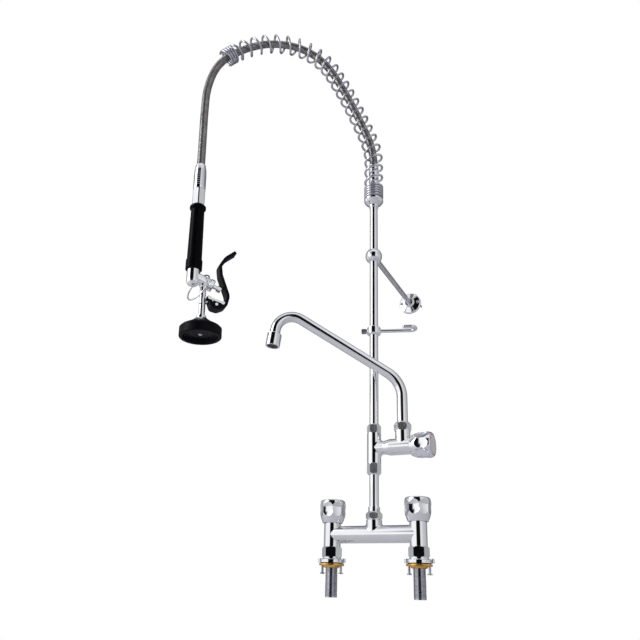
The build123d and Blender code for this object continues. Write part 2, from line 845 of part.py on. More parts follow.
def hose_lower_ferrule():
    """The ribbed ferrule on the hose's lower end, with the tail that the handset turns on."""
    low = -far_ferrule_length
    body = turned(
        (0, 0), (far_ferrule_d / 2 - 2.4, 0), (far_ferrule_d / 2 - 0.6, -12),
        (far_ferrule_d / 2, -24), (far_ferrule_d / 2, low), (0, low),
    )
    for index in range(far_ferrule_ribs):
        high = -5.0 - far_ferrule_pitch * index
        groove = rod(far_ferrule_d, high - far_groove_w, high)
        body -= groove - rod(far_ferrule_d - 2 * far_groove_d, high - far_groove_w, high)
    body += rod(tail_d, low - tail_length, low)
    return handset * (body - rod(hose_bore_d - 3, low - tail_length, 0))


def handle_nut():
    """The plain nut at the top of the handle."""
    high = nut_low + handle_nut_length
    nut = chamfered_hex(handle_nut_flats, nut_low, high, 25.0, 24.0, 1.5)
    nut = nut & rod(handle_nut_flats * 1.1, nut_low, high)
    return handset * (nut - rod(tail_d + 2 * running_gap, nut_low, high))


def handle_grip():
    """The black grip: a bead at the top, a tapering handle and a thicker cuff."""
    bead_mid = nut_low - bead_h / 2
    grip = turned(
        (0, nut_low - 1), (bead_d / 2 - 3, nut_low), (bead_d / 2, bead_mid + 2), (bead_d / 2, bead_mid - 2),
        (bead_d / 2 - 2.5, nut_low - bead_h), (grip_d_top / 2, nut_low - bead_h - 2),
        (grip_d_low / 2, -grip_end), (cuff_d / 2, -grip_end - 2), (cuff_d / 2, -cuff_end + 1),
        (cuff_d / 2 - 1, -cuff_end), (0, -cuff_end),
    )
    return handset * (grip - rod(stem_tube_d, -cuff_end, nut_low))


def valve_body():
    """The chrome spray valve: handle tube, barrel, slanting chamber and spray neck."""
    tube = rod(stem_tube_d, -cuff_end, nut_low)
    barrel = rod(valve_d, -valve_bottom, -cuff_end)
    dome = Pos(0, 0, -valve_bottom) * Sphere(valve_d / 2)
    chamber = chamber_start * rod(chamber_d, 0, chamber_length)
    neck = Pos(neck_offset, 0, 0) * rod(spray_neck_d, -spray_neck_end, -valve_bottom - 4)
    knuckle = Pos(neck_offset, 0, -valve_bottom - 6) * Sphere(knuckle_d / 2)
    lug_depth = pivot_depth + pivot_d * 0.9
    lug = Pos(neck_offset + (pivot_offset - neck_offset) / 2, 0, -pivot_depth)
    lug = lug * Box(pivot_offset - neck_offset, lever_width / 2 - 1, 2 * (lug_depth - pivot_depth))
    eye = Pos(pivot_offset, 0, -pivot_depth) * Rot(90, 0, 0) * Cylinder(pivot_d * 0.9, lever_width / 2 - 1)
    solid = tube + barrel + dome + chamber + knuckle + neck + lug + eye
    solid -= rod(hose_bore_d, -valve_bottom + 6, nut_low)
    solid -= chamber_start * rod(valve_bore_d, valve_floor, chamber_length)
    solid -= Pos(neck_offset, 0, 0) * rod(neck_way_d, -spray_neck_end, -valve_bottom)
    pin_way = Pos(pivot_offset, 0, -pivot_depth) * Rot(90, 0, 0) * Cylinder(pivot_d / 2, lever_width)
    return handset * (solid - pin_way)


def valve_bonnet():
    """The cap on the chamber's end, bored for the stem."""
    low = chamber_length
    bonnet = rod(bonnet_d, low, low + bonnet_length)
    bonnet = chamfer(bonnet.edges(), 1.2)
    bonnet += rod(valve_bore_d, low - bonnet_plug, low)
    bonnet -= rod(valve_stem_d + 2 * running_gap, low - bonnet_plug, low + bonnet_length)
    return handset * chamber_start * bonnet


def valve_stem():
    """The sliding stem with its push button outside and its head inside."""
    out = chamber_length + bonnet_length
    stem = rod(valve_stem_d, stem_head, out + button_gap)
    stem += rod(valve_bore_d - 2 * running_gap, stem_head, stem_head + stem_head_t)
    stem += rod(button_d, out + button_gap, out + button_gap + button_length)
    return handset * chamber_start * stem


def valve_spring():
    """The small return spring between the chamber's floor and the stem's head."""
    height = stem_head - valve_floor - return_wire_d - 0.2
    coil = Helix(return_turn, height, valve_bore_d / 2 - return_wire_d - body_gap)
    coil = Pos(0, 0, valve_floor + return_wire_d / 2 + 0.1) * coil
    start = Plane(origin=coil @ 0, z_dir=coil % 0)
    return handset * chamber_start * sweep(start * Circle(return_wire_d / 2), path=coil)


def squeeze_lever():
    """The black S-shaped lever, a strap bent from its pivot round to its tip."""
    points = [(across, -depth) for across, depth in lever_route]
    line = FilletPolyline(*points, radius=lever_bends)
    strap = extrude(Plane.XZ * trace(line, lever_t), lever_width / 2, both=True)
    hinge = Pos(pivot_offset, 0, -pivot_depth) * Rot(90, 0, 0)
    strap += hinge * Cylinder(pivot_d, lever_width)
    cheek = make_face(Polyline(*[(across, -depth) for across, depth in lever_cheek], close=True))
    strap += extrude(Plane.XZ * cheek, lever_width / 2, both=True)
    strap -= Pos(rivet_place[0], 0, -rivet_place[1]) * Rot(90, 0, 0) * Cylinder(rivet_d / 2, lever_width)
    strap -= hinge * Cylinder(pivot_d * 0.9 + body_gap + 0.7, lever_width / 2)
    slot = Box(20, lever_width / 2, 2 * pivot_d + 8)
    strap -= Pos(pivot_offset - 8.5, 0, -pivot_depth) * slot
    return handset * (strap - hinge * Cylinder(pivot_d / 2 + running_gap, 2 * lever_width))


def lever_pin():
    """The pin that the lever and its plates turn on."""
    half = lever_width / 2 + plate_t
    pin = Cylinder(pivot_d / 2, 2 * half + 1.0)
    for side in (-1, 1):
        pin += Pos(0, 0, side * (half + 1.0)) * Cylinder(pivot_d / 2 + 0.9, 1.0)
    return handset * Pos(pivot_offset, 0, -pivot_depth) * Rot(90, 0, 0) * pin


def lever_plates():
    """The two waisted plates on the lever's cheeks, and the rivet through the cheeks."""
    across, depth = plate_end
    length = sqrt((across - pivot_offset) ** 2 + (depth - pivot_depth) ** 2)
    slope = degrees(atan2(depth - pivot_depth, across - pivot_offset))
    plate = Pos(length / 2, 0, 0) * Box(length, plate_waist, plate_t)
    plate += Cylinder(plate_eye_d / 2, plate_t) + Pos(length, 0, 0) * Cylinder(plate_eye_d / 2, plate_t)
    plate -= Cylinder(pivot_d / 2 + running_gap, plate_t)
    hinge = Pos(pivot_offset, 0, -pivot_depth) * Rot(90, 0, 0)
    offset = lever_width / 2 + plate_t / 2
    pieces = [hinge * Pos(0, 0, side * offset) * Rot(0, 0, -slope) * plate for side in (-1, 1)]
    rivet = Cylinder(rivet_d / 2, lever_width)
    for side in (-1, 1):
        rivet += Pos(0, 0, side * (lever_width / 2 + 0.5)) * Cylinder(rivet_head_d / 2, 1.0)
    pieces.append(Pos(rivet_place[0], 0, -rivet_place[1]) * Rot(90, 0, 0) * rivet)
    return Compound(children=[handset * piece for piece in pieces])


def hold_ring():
    """The loose wire ring round the chamber that can hold the lever down."""
    turn = Pos(ring_offset, 0, -ring_depth) * Rot(0, ring_lean, 0) * Rot(0, 0, ring_yaw) * Rot(0, 90, 0)
    return handset * turn * Torus(ring_d / 2, ring_wire_d / 2)


def spray_bell():
    """The chrome bell screwed on the neck."""
    mouth, wall = bell_d / 2, bell_wall
    bell = turned(
        (spray_neck_d / 2, -bell_top + 7), (9.0, -bell_top + 7), (9.0, -bell_top + 1), (13.0, -bell_top),
        (mouth - 4, -bell_top - 13), (mouth, -bell_top - 17), (mouth, -bell_low),
        (mouth - wall, -bell_low), (mouth - wall, -bell_top - 18), (11.0, -bell_top - 4),
        (spray_neck_d / 2, -bell_top - 4),
    )
    return handset * Pos(neck_offset, 0, 0) * bell


def spray_bumper():
    """The black rubber rim round the spray head."""
    outer, inner = bumper_d / 2, bell_d / 2
    edge = inner - 12
    seat = -bell_top - 13 * (edge - 13) / (inner - 4 - 13)
    rim = turned(
        (edge, seat), (edge + 1, -bumper_top), (outer - 3, -bumper_top - 9.5),
        (outer, -bumper_top - 12.5), (outer, -bumper_low + 1.5), (outer - 1.5, -bumper_low),
        (inner + 1.5, -bumper_low), (inner - 1, -bell_low), (inner, -bell_low),
        (inner, -bell_top - 17), (inner - 4, -bell_top - 13),
    )
    return handset * Pos(neck_offset, 0, 0) * rim


def spray_face():
    """The perforated plate in the spray head's mouth."""
    radius = bell_d / 2 - bell_wall
    plate = rod(2 * radius, -bell_low, -bell_low + face_t)
    for ring, count in ((0.42, face_holes // 2), (0.72, face_holes)):
        for index in range(count):
            angle = 2 * pi * index / count
            place = Pos(ring * radius * cos(angle), ring * radius * sin(angle), 0)
            plate -= place * rod(face_hole_d, -bell_low, -bell_low + face_t)
    plate -= rod(knob_screw_d, -bell_low, -bell_low + face_t)
    return handset * Pos(neck_offset, 0, 0) * plate


def spray_face_screw():
    """The screw in the middle of the spray plate."""
    screw = rod(face_screw_d, -bell_low - face_screw_h, -bell_low)
    screw = chamfer(screw.edges().group_by(Axis.Z)[0], 0.8)
    screw += rod(knob_screw_d, -bell_low, -bell_low + 9)
    return handset * Pos(neck_offset, 0, 0) * screw


# Assembly -----------------------------------------------------------------------------------------
parts = {
    "bridge_body": bridge_body(),
    "union_nuts": Compound(children=pair(union_nut())),
    "deck_seals": Compound(children=pair(deck_seal())),
    "lock_nuts": Compound(children=pair(lock_nut())),
    "fixing_screws": fixing_screws(),
    "riser_nut": riser_nut(),
    "lower_riser": lower_riser(),
    "addon_body": addon_body(),
    "addon_lower_nut": lower_nut(),
    "addon_upper_nut": upper_nut(),
    "upper_riser": upper_riser(),
    "spout_nut": spout_nut(),
    "spout_tube": spout_tube(),
    "aerator_shell": aerator_shell(),
    "aerator_insert": aerator_insert(),
    "finger_hook": finger_hook(),
    "hook_thumb_screw": thumb_screw(),
    "bracket_collar": bracket_collar(),
    "collar_set_screw": collar_set_screw(),
    "bracket_rod": bracket_rod(),
    "wall_flange": wall_flange(),
    "wall_screws": wall_screws(),
    "spring_cup": spring_cup(),
    "support_spring": support_spring(),
    "hose_top_ferrule": hose_top_ferrule(),
    "hose": hose(),
    "hose_lower_ferrule": hose_lower_ferrule(),
    "handle_nut": handle_nut(),
    "handle_grip": handle_grip(),
    "valve_body": valve_body(),
    "valve_bonnet": valve_bonnet(),
    "valve_stem": valve_stem(),
    "valve_spring": valve_spring(),
    "squeeze_lever": squeeze_lever(),
    "lever_pin": lever_pin(),
    "lever_plates": lever_plates(),
    "hold_ring": hold_ring(),
    "spray_bell": spray_bell(),
    "spray_bumper": spray_bumper(),
    "spray_face": spray_face(),
    "spray_face_screw": spray_face_screw(),
}
for name, side in (("hot", left), ("cold", right)):
    parts[name + "_shank"] = Pos(side, 0, 0) * shank()
    parts[name + "_deck_flange"] = Pos(side, 0, 0) * deck_flange()

valve_seats = {
    "hot": Pos(left, 0, pillar_top),
    "cold": Pos(right, 0, pillar_top),
    "spout": Pos(arm_length, 0, arm_height) * Rot(0, 90, 0),
}
for name, seat in valve_seats.items():
    parts[name + "_cartridge"] = seat * cartridge()
    parts[name + "_spindle"] = seat * spindle()
    parts[name + "_knob"] = seat * knob()
    parts[name + "_knob_screw"] = seat * knob_screw()
    parts[name + "_index"] = seat * index_cap()

os.makedirs("parts", exist_ok=True)
for node, shape in parts.items():
    export_step(shape, "parts/" + node + ".step")
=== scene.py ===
import json
import math

import bpy
from mathutils import Matrix, Vector


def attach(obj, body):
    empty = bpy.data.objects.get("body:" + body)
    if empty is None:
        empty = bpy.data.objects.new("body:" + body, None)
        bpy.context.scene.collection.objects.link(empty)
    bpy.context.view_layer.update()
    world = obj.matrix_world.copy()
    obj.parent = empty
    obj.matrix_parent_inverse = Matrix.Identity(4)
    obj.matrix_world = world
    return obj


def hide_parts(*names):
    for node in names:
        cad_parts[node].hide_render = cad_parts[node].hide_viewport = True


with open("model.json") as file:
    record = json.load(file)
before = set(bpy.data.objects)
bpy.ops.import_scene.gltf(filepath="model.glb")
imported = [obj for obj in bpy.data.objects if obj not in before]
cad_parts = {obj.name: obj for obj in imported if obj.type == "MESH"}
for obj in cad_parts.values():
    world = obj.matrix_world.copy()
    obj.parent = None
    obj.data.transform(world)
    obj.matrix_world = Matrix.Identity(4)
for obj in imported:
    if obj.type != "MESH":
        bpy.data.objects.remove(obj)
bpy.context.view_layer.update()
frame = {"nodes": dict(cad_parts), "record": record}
nodes = frame["nodes"]
scene = bpy.context.scene
scene.view_settings.view_transform = "Standard"
print("frame loaded,", len(nodes), "nodes")


# camera, at the height of the inlets and looking up at the faucet
cameraSet = {
    "place": (0.3992, -1.0489, -0.0646),
    "heading": 26.09,
    "rise": 23.97,
    "roll": 2.06,
    "lens": 36.107,
    "sensor": 36.0,
}


def addCamera():
    heading, rise, roll = (math.radians(cameraSet[key]) for key in ("heading", "rise", "roll"))
    forward = Vector((-math.sin(heading) * math.cos(rise), math.cos(heading) * math.cos(rise), math.sin(rise)))
    level = Vector((math.cos(heading), math.sin(heading), 0))
    upright = level.cross(forward)
    across = math.cos(roll) * level + math.sin(roll) * upright
    upward = math.cos(roll) * upright - math.sin(roll) * level
    camera = bpy.data.objects.new("mainCamera", bpy.data.cameras.new("mainCamera"))
    camera.data.lens = cameraSet["lens"]
    camera.data.sensor_width = cameraSet["sensor"]
    turn = Matrix((across, upward, -forward)).transposed().to_4x4()
    camera.matrix_world = Matrix.Translation(cameraSet["place"]) @ turn
    scene.collection.objects.link(camera)
    scene.camera = camera


addCamera()
print("camera placed")


# materials, all in object coordinates
def newMaterial(name):
    material = bpy.data.materials.new(name)
    material.use_nodes = True
    tree = material.node_tree
    shader = tree.nodes["Principled BSDF"]
    return material, tree, shader


def addNode(tree, kind, **values):
    node = tree.nodes.new(kind)
    for key, value in values.items():
        if hasattr(node, key):
            setattr(node, key, value)
        else:
            node.inputs[key.replace("_", " ")].default_value = value
    return node


def patternPlace(tree, stretch=(1, 1, 1), shift=(0, 0, 0)):
    coords = addNode(tree, "ShaderNodeTexCoord")
    mapping = addNode(tree, "ShaderNodeMapping")
    mapping.inputs["Scale"].default_value = stretch
    mapping.inputs["Location"].default_value = shift
    tree.links.new(coords.outputs["Object"], mapping.inputs["Vector"])
    return mapping.outputs["Vector"]


def spread(tree, value, low, high, fromLow=0.3, fromHigh=0.7):
    # one range of values laid over another
    node = addNode(tree, "ShaderNodeMapRange")
    node.inputs["From Min"].default_value = fromLow
    node.inputs["From Max"].default_value = fromHigh
    node.inputs["To Min"].default_value = low
    node.inputs["To Max"].default_value = high
    tree.links.new(value, node.inputs["Value"])
    return node.outputs["Result"]


def tint(tree, value, dark, light, low=0.3, high=0.7):
    ramp = addNode(tree, "ShaderNodeValToRGB")
    ramp.color_ramp.elements[0].position = low
    ramp.color_ramp.elements[0].color = (*dark, 1)
    ramp.color_ramp.elements[1].position = high
    ramp.color_ramp.elements[1].color = (*light, 1)
    tree.links.new(value, ramp.inputs["Fac"])
    return ramp.outputs["Color"]


def noise(tree, where, scale, detail=3.0, roughness=0.5):
    node = addNode(tree, "ShaderNodeTexNoise", Scale=scale, Detail=detail, Roughness=roughness)
    tree.links.new(where, node.inputs["Vector"])
    return node.outputs["Fac"]


def bump(tree, shader, height, strength, distance):
    node = addNode(tree, "ShaderNodeBump", Strength=strength, Distance=distance)
    tree.links.new(height, node.inputs["Height"])
    tree.links.new(node.outputs["Normal"], shader.inputs["Normal"])


grainDepth = 0.0003
polish = {"smear": 38, "smearDetail": 4.0, "smearRoughness": 0.62, "cloud": 11, "cloudLow": 0.2,
          "cloudHigh": 0.6, "ripple": 46, "rippleDepth": 0.0006}
plating = {
    "chrome": {"dark": (0.80, 0.81, 0.84), "light": (0.93, 0.94, 0.96),
               "rough": (0.035, 0.075), "wave": 0.05},
    "knobChrome": {"dark": (0.80, 0.81, 0.84), "light": (0.92, 0.93, 0.95),
                   "rough": (0.045, 0.09), "wave": 0.07},
    "springChrome": {"dark": (0.34, 0.35, 0.40), "light": (0.68, 0.69, 0.75),
                     "rough": (0.06, 0.12), "wave": 0.04},
    "nutChrome": {"dark": (0.84, 0.85, 0.87), "light": (0.95, 0.96, 0.97),
                  "rough": (0.28, 0.36), "wave": 0.10},
    "ringChrome": {"dark": (0.70, 0.71, 0.74), "light": (0.88, 0.89, 0.92),
                   "rough": (0.06, 0.11), "wave": 0.04},
}


def platedMetal(name):
    # bright plating: a slow wave from polishing, and faint smears that dull it
    values = plating[name]
    material, tree, shader = newMaterial(name)
    shader.inputs["Metallic"].default_value = 1.0
    where = patternPlace(tree)
    smear = noise(tree, where, polish["smear"], polish["smearDetail"], polish["smearRoughness"])
    tree.links.new(spread(tree, smear, *values["rough"]), shader.inputs["Roughness"])
    cloud = noise(tree, where, polish["cloud"], 2.0)
    tone = tint(tree, cloud, values["dark"], values["light"], polish["cloudLow"], polish["cloudHigh"])
    tree.links.new(tone, shader.inputs["Base Color"])
    bump(tree, shader, noise(tree, where, polish["ripple"], 1.0), values["wave"], polish["rippleDepth"])
    return material


patchScale = 70
steels = {
    "rodSteel": {"dark": (0.50, 0.50, 0.52), "light": (0.74, 0.74, 0.77), "rough": (0.20, 0.32),
                 "stretch": (1, 0.02, 1), "grain": 2600, "depth": 0.14},
    "threadSteel": {"dark": (0.44, 0.45, 0.49), "light": (0.56, 0.57, 0.62), "rough": (0.12, 0.18),
                    "stretch": (1, 1, 0.6), "grain": 700, "depth": 0.04},
    "screwSteel": {"dark": (0.42, 0.43, 0.46), "light": (0.76, 0.77, 0.80), "rough": (0.16, 0.30),
                   "stretch": (1, 1, 1), "grain": 1400, "depth": 0.10},
    "thumbSteel": {"dark": (0.16, 0.16, 0.18), "light": (0.50, 0.51, 0.54), "rough": (0.16, 0.30),
                   "stretch": (1, 1, 1), "grain": 1300, "depth": 0.14},
    "returnWire": {"dark": (0.40, 0.41, 0.43), "light": (0.66, 0.67, 0.70), "rough": (0.20, 0.34),
                   "stretch": (1, 1, 1), "grain": 1500, "depth": 0.08},
    "valveBrass": {"dark": (0.52, 0.36, 0.14), "light": (0.82, 0.62, 0.30), "rough": (0.22, 0.36),
                   "stretch": (1, 1, 6), "grain": 500, "depth": 0.10},
}


def workedMetal(name):
    # bare metal: grain along the tool's path, and a patchy tone
    values = steels[name]
    material, tree, shader = newMaterial(name)
    shader.inputs["Metallic"].default_value = 1.0
    where = patternPlace(tree, stretch=values["stretch"])
    grain = noise(tree, where, values["grain"], 2.0)
    patch = noise(tree, patternPlace(tree), patchScale, 4.0, 0.6)
    tree.links.new(spread(tree, grain, *values["rough"]), shader.inputs["Roughness"])
    tree.links.new(tint(tree, patch, values["dark"], values["light"]), shader.inputs["Base Color"])
    bump(tree, shader, grain, values["depth"], grainDepth)
    return material


brass = {"dark": (0.42, 0.20, 0.035), "light": (0.95, 0.60, 0.16), "patch": 160, "from": 0.32, "to": 0.62,
         "grain": 2400, "stretch": (0.05, 0.05, 1), "rough": (0.20, 0.42), "depth": 0.25}


def lockBrass():
    # raw turned brass, orange where it has tarnished
    material, tree, shader = newMaterial("lockBrass")
    shader.inputs["Metallic"].default_value = 1.0
    where = patternPlace(tree)
    patch = noise(tree, where, brass["patch"], 5.0, 0.65)
    tone = tint(tree, patch, brass["dark"], brass["light"], brass["from"], brass["to"])
    tree.links.new(tone, shader.inputs["Base Color"])
    turned = noise(tree, patternPlace(tree, stretch=brass["stretch"]), brass["grain"], 2.0)
    tree.links.new(spread(tree, patch, *brass["rough"]), shader.inputs["Roughness"])
    bump(tree, shader, turned, brass["depth"], grainDepth)
    return material


wearScale = 45
polymers = {
    "gripBlack": {"dark": (0.0010, 0.0010, 0.0022), "light": (0.0030, 0.0030, 0.0060), "rough": (0.24, 0.36),
                 "grain": 900, "depth": 0.10, "shine": 0.04},
    "leverBlack": {"dark": (0.0016, 0.0010, 0.0030), "light": (0.0050, 0.0036, 0.0090), "rough": (0.24, 0.38),
                  "grain": 1500, "depth": 0.16, "shine": 0.08},
    "bumperRubber": {"dark": (0.0012, 0.0012, 0.0026), "light": (0.0040, 0.0040, 0.0070),
                     "rough": (0.34, 0.50),
                    "grain": 1100, "depth": 0.14, "shine": 0.08},
    "sealRubber": {"dark": (0.004, 0.004, 0.004), "light": (0.014, 0.014, 0.014), "rough": (0.55, 0.75),
                  "grain": 1400, "depth": 0.20, "shine": 0.2},
    "facePlastic": {"dark": (0.0010, 0.0012, 0.0040), "light": (0.0036, 0.0040, 0.0100),
                    "rough": (0.26, 0.42),
                   "grain": 1200, "depth": 0.08, "shine": 0.08},
    "aeratorPlastic": {"dark": (0.035, 0.035, 0.042), "light": (0.085, 0.085, 0.10), "rough": (0.35, 0.5),
                      "grain": 1300, "depth": 0.10, "shine": 0.3},
}


def polymer(name):
    # moulded plastic, rubber or powder coat: fine pebble and a worn sheen
    values = polymers[name]
    material, tree, shader = newMaterial(name)
    shader.inputs["Specular IOR Level"].default_value = values["shine"]
    where = patternPlace(tree)
    grain = noise(tree, where, values["grain"], 2.0)
    wear = noise(tree, where, wearScale, 4.0, 0.6)
    tree.links.new(spread(tree, wear, *values["rough"]), shader.inputs["Roughness"])
    tree.links.new(tint(tree, wear, values["dark"], values["light"]), shader.inputs["Base Color"])
    bump(tree, shader, grain, values["depth"], grainDepth)
    return material


capFinish = {"white": (0.86, 0.87, 0.88, 1), "radius": 0.0195, "ringFrom": 0.84, "ringTo": 0.93, "coat": 0.4,
             "gloss": 60, "rough": (0.14, 0.26)}
indexCaps = {
    "hot_index": {"centre": (-0.0762, 0, 0), "flat": (1, 1, 0), "ring": (0.55, 0.02, 0.03)},
    "cold_index": {"centre": (0.0762, 0, 0), "flat": (1, 1, 0), "ring": (0.02, 0.07, 0.50)},
    "spout_index": {"centre": (0, 0, 0.1898), "flat": (0, 1, 1), "ring": (0.55, 0.02, 0.03)},
}


def indexPlastic(name):
    # white cap with a thin coloured ring near its rim
    values = indexCaps[name]
    material, tree, shader = newMaterial(name.replace("_index", "IndexPlastic"))
    shader.inputs["Coat Weight"].default_value = capFinish["coat"]
    away = [-place * flat for place, flat in zip(values["centre"], values["flat"])]
    where = patternPlace(tree, stretch=values["flat"], shift=away)
    radius = addNode(tree, "ShaderNodeVectorMath", operation="LENGTH")
    tree.links.new(where, radius.inputs[0])
    ramp = addNode(tree, "ShaderNodeValToRGB")
    ramp.color_ramp.interpolation = "CONSTANT"
    ramp.color_ramp.elements[0].color = capFinish["white"]
    ramp.color_ramp.elements[1].position = capFinish["ringFrom"]
    ramp.color_ramp.elements[1].color = (*values["ring"], 1)
    edge = ramp.color_ramp.elements.new(capFinish["ringTo"])
    edge.color = capFinish["white"]
    share = spread(tree, radius.outputs["Value"], 0.0, 1.0, 0.0, capFinish["radius"])
    tree.links.new(share, ramp.inputs["Fac"])
    tree.links.new(ramp.outputs["Color"], shader.inputs["Base Color"])
    gloss = noise(tree, patternPlace(tree), capFinish["gloss"], 3.0)
    tree.links.new(spread(tree, gloss, *capFinish["rough"]), shader.inputs["Roughness"])
    return material


cover = {"dark": (0.20, 0.19, 0.19), "light": (0.44, 0.425, 0.42), "metal": 0.85, "patch": 55, "smear": 420,
         "rough": (0.16, 0.28), "grain": 1500, "depth": 0.12}


def hoseCover():
    # wound grey-brown cover, its tone changing along the hose
    material, tree, shader = newMaterial("hoseCover")
    shader.inputs["Metallic"].default_value = cover["metal"]
    where = patternPlace(tree)
    patch = noise(tree, where, cover["patch"], 4.0, 0.6)
    tree.links.new(tint(tree, patch, cover["dark"], cover["light"]), shader.inputs["Base Color"])
    smear = noise(tree, where, cover["smear"], 2.0)
    tree.links.new(spread(tree, smear, *cover["rough"]), shader.inputs["Roughness"])
    bump(tree, shader, noise(tree, where, cover["grain"], 2.0), cover["depth"], grainDepth)
    return material


finishes = {
    "chrome": platedMetal("chrome"),
    "knob_chrome": platedMetal("knobChrome"),
    "spring_chrome": platedMetal("springChrome"),
    "ring_chrome": platedMetal("ringChrome"),
    "thumb_steel": workedMetal("thumbSteel"),
    "rod_steel": workedMetal("rodSteel"),
    "thread_steel": workedMetal("threadSteel"),
    "screw_steel": workedMetal("screwSteel"),
    "return_spring": workedMetal("returnWire"),
    "valve_brass": workedMetal("valveBrass"),
    "lock_brass": lockBrass(),
    "seal_rubber": polymer("sealRubber"),
    "bumper_rubber": polymer("bumperRubber"),
    "grip_black": polymer("gripBlack"),
    "lever_black": polymer("leverBlack"),
    "aerator_plastic": polymer("aeratorPlastic"),
    "face_plastic": polymer("facePlastic"),
    "hose_grey": hoseCover(),
}
# the small nuts are duller than real plating, so their front flats do not mirror the dark card
smallNuts = ("riser_nut", "addon_lower_nut", "addon_upper_nut", "spout_nut")
nutFinish = platedMetal("nutChrome")
for subpart in frame["record"]["subparts"]:
    name = subpart["node"]
    node = nodes[name]
    if name in indexCaps:
        finish = indexPlastic(name)
    elif name in smallNuts:
        finish = nutFinish
    else:
        finish = finishes[subpart["material_slot"]]
    for place in node.material_slots:
        place.material = finish
print("materials made")


# helpers for modelling
def deselectAll():
    bpy.ops.object.select_all(action="DESELECT")


def editMode(piece):
    deselectAll()
    piece.select_set(True)
    bpy.context.view_layer.objects.active = piece
    bpy.ops.object.mode_set(mode="EDIT")


def objectMode():
    bpy.ops.object.mode_set(mode="OBJECT")


def settle(piece, name, slot, body, smooth=35):
    # the piece's place goes into its mesh, and it gets its finish and its body
    deselectAll()
    piece.name = name
    piece.data.name = name
    piece.select_set(True)
    bpy.context.view_layer.objects.active = piece
    bpy.ops.object.transform_apply(location=True, rotation=True, scale=True)
    bpy.ops.object.shade_smooth_by_angle(angle=math.radians(smooth))
    piece.data.materials.clear()
    piece.data.materials.append(finishes[slot])
    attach(piece, body)
    return piece


# hose, a cord from the riser's fitting to the spray valve's tail
hose = {
    "route": [
        (0.0, 0.0, 0.795), (0.0, 0.0, 0.836), (-0.022049, -0.013778, 0.903), (-0.052579, -0.032855, 0.985),
        (-0.093285, -0.058291, 1.072), (-0.144168, -0.090086, 1.112), (-0.206076, -0.12877, 1.114),
        (-0.258655, -0.161625, 1.083), (-0.298513, -0.186532, 1.037), (-0.313778, -0.19607, 0.965),
        (-0.312082, -0.195011, 0.890), (-0.308690, -0.192891, 0.820), (-0.305806, -0.191089, 0.752),
    ],
    "diameter": 0.017,
    "length": 0.8623,
    "coreRadius": 0.0079,
    "windRadius": 0.00795,
    "wire": 0.00055,
    "pitch": 0.0024,
    "steps": 14,
}


def routeCurve(name, route):
    curve = bpy.data.curves.new(name, "CURVE")
    curve.dimensions = "3D"
    spline = curve.splines.new("NURBS")
    spline.points.add(len(route) - 1)
    for point, place in zip(spline.points, route):
        point.co = (*place, 1)
    spline.order_u = 3
    spline.use_endpoint_u = True
    spline.resolution_u = 16
    piece = bpy.data.objects.new(name, curve)
    scene.collection.objects.link(piece)
    return piece


def linePoints(piece):
    # the places the curve's own line passes, in order
    bpy.context.view_layer.update()
    mesh = bpy.data.meshes.new_from_object(piece)
    places = [vertex.co.copy() for vertex in mesh.vertices]
    bpy.data.meshes.remove(mesh)
    return places


def alongLine(places, gap):
    # even steps along the line, each with its direction
    steps = []
    left = 0.0
    for start, end in zip(places, places[1:]):
        run = (end - start).length
        ahead = (end - start) / run
        while left < run:
            steps.append((start + ahead * left, ahead))
            left += gap
        left -= run
    return steps


def addHose():
    cord = routeCurve("hoseCord", hose["route"])
    places = linePoints(cord)
    cord.data.bevel_depth = hose["coreRadius"]
    cord.data.bevel_resolution = 6
    cord.data.use_fill_caps = True
    cord.data.materials.append(finishes["hose_grey"])
    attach(cord, "hose_head")
    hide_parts("hose")
    # the wound cover: one thin wire in close turns round the core
    gap = hose["pitch"] / hose["steps"]
    side = Vector((0, 0, 1)).cross(Vector((1, 0.6, 0))).normalized()
    winding = []
    for index, (place, ahead) in enumerate(alongLine(places, gap)):
        side = (side - ahead * side.dot(ahead)).normalized()
        angle = 2 * math.pi * index / hose["steps"]
        out = side * math.cos(angle) + ahead.cross(side) * math.sin(angle)
        winding.append(place + out * hose["windRadius"])
    wire = bpy.data.curves.new("hoseWinding", "CURVE")
    wire.dimensions = "3D"
    spline = wire.splines.new("POLY")
    spline.points.add(len(winding) - 1)
    for point, place in zip(spline.points, winding):
        point.co = (*place, 1)
    wire.bevel_depth = hose["wire"]
    wire.bevel_resolution = 1
    piece = bpy.data.objects.new("hoseWinding", wire)
    scene.collection.objects.link(piece)
    deselectAll()
    piece.select_set(True)
    bpy.context.view_layer.objects.active = piece
    bpy.ops.object.convert(target="MESH")
    winding = settle(bpy.context.view_layer.objects.active, "hoseWinding", "hose_grey", "hose_head", 80)


addHose()
print("hose wound")


# threaded inlets under the deck
inlet = {
    "root": 0.0096,
    "crest": 0.01045,
    "pitch": 0.001814,
    "low": -0.0517,
    "high": 0.0122,
    "bore": 0.0075,
    "flange": 0.0124,
    "flangeHeight": 0.003,
    "rise": 0.0001,
    "tooth": 0.56,
    "start": 0.0014,
    "unthreaded": 0.004,
    "steps": 48,
}


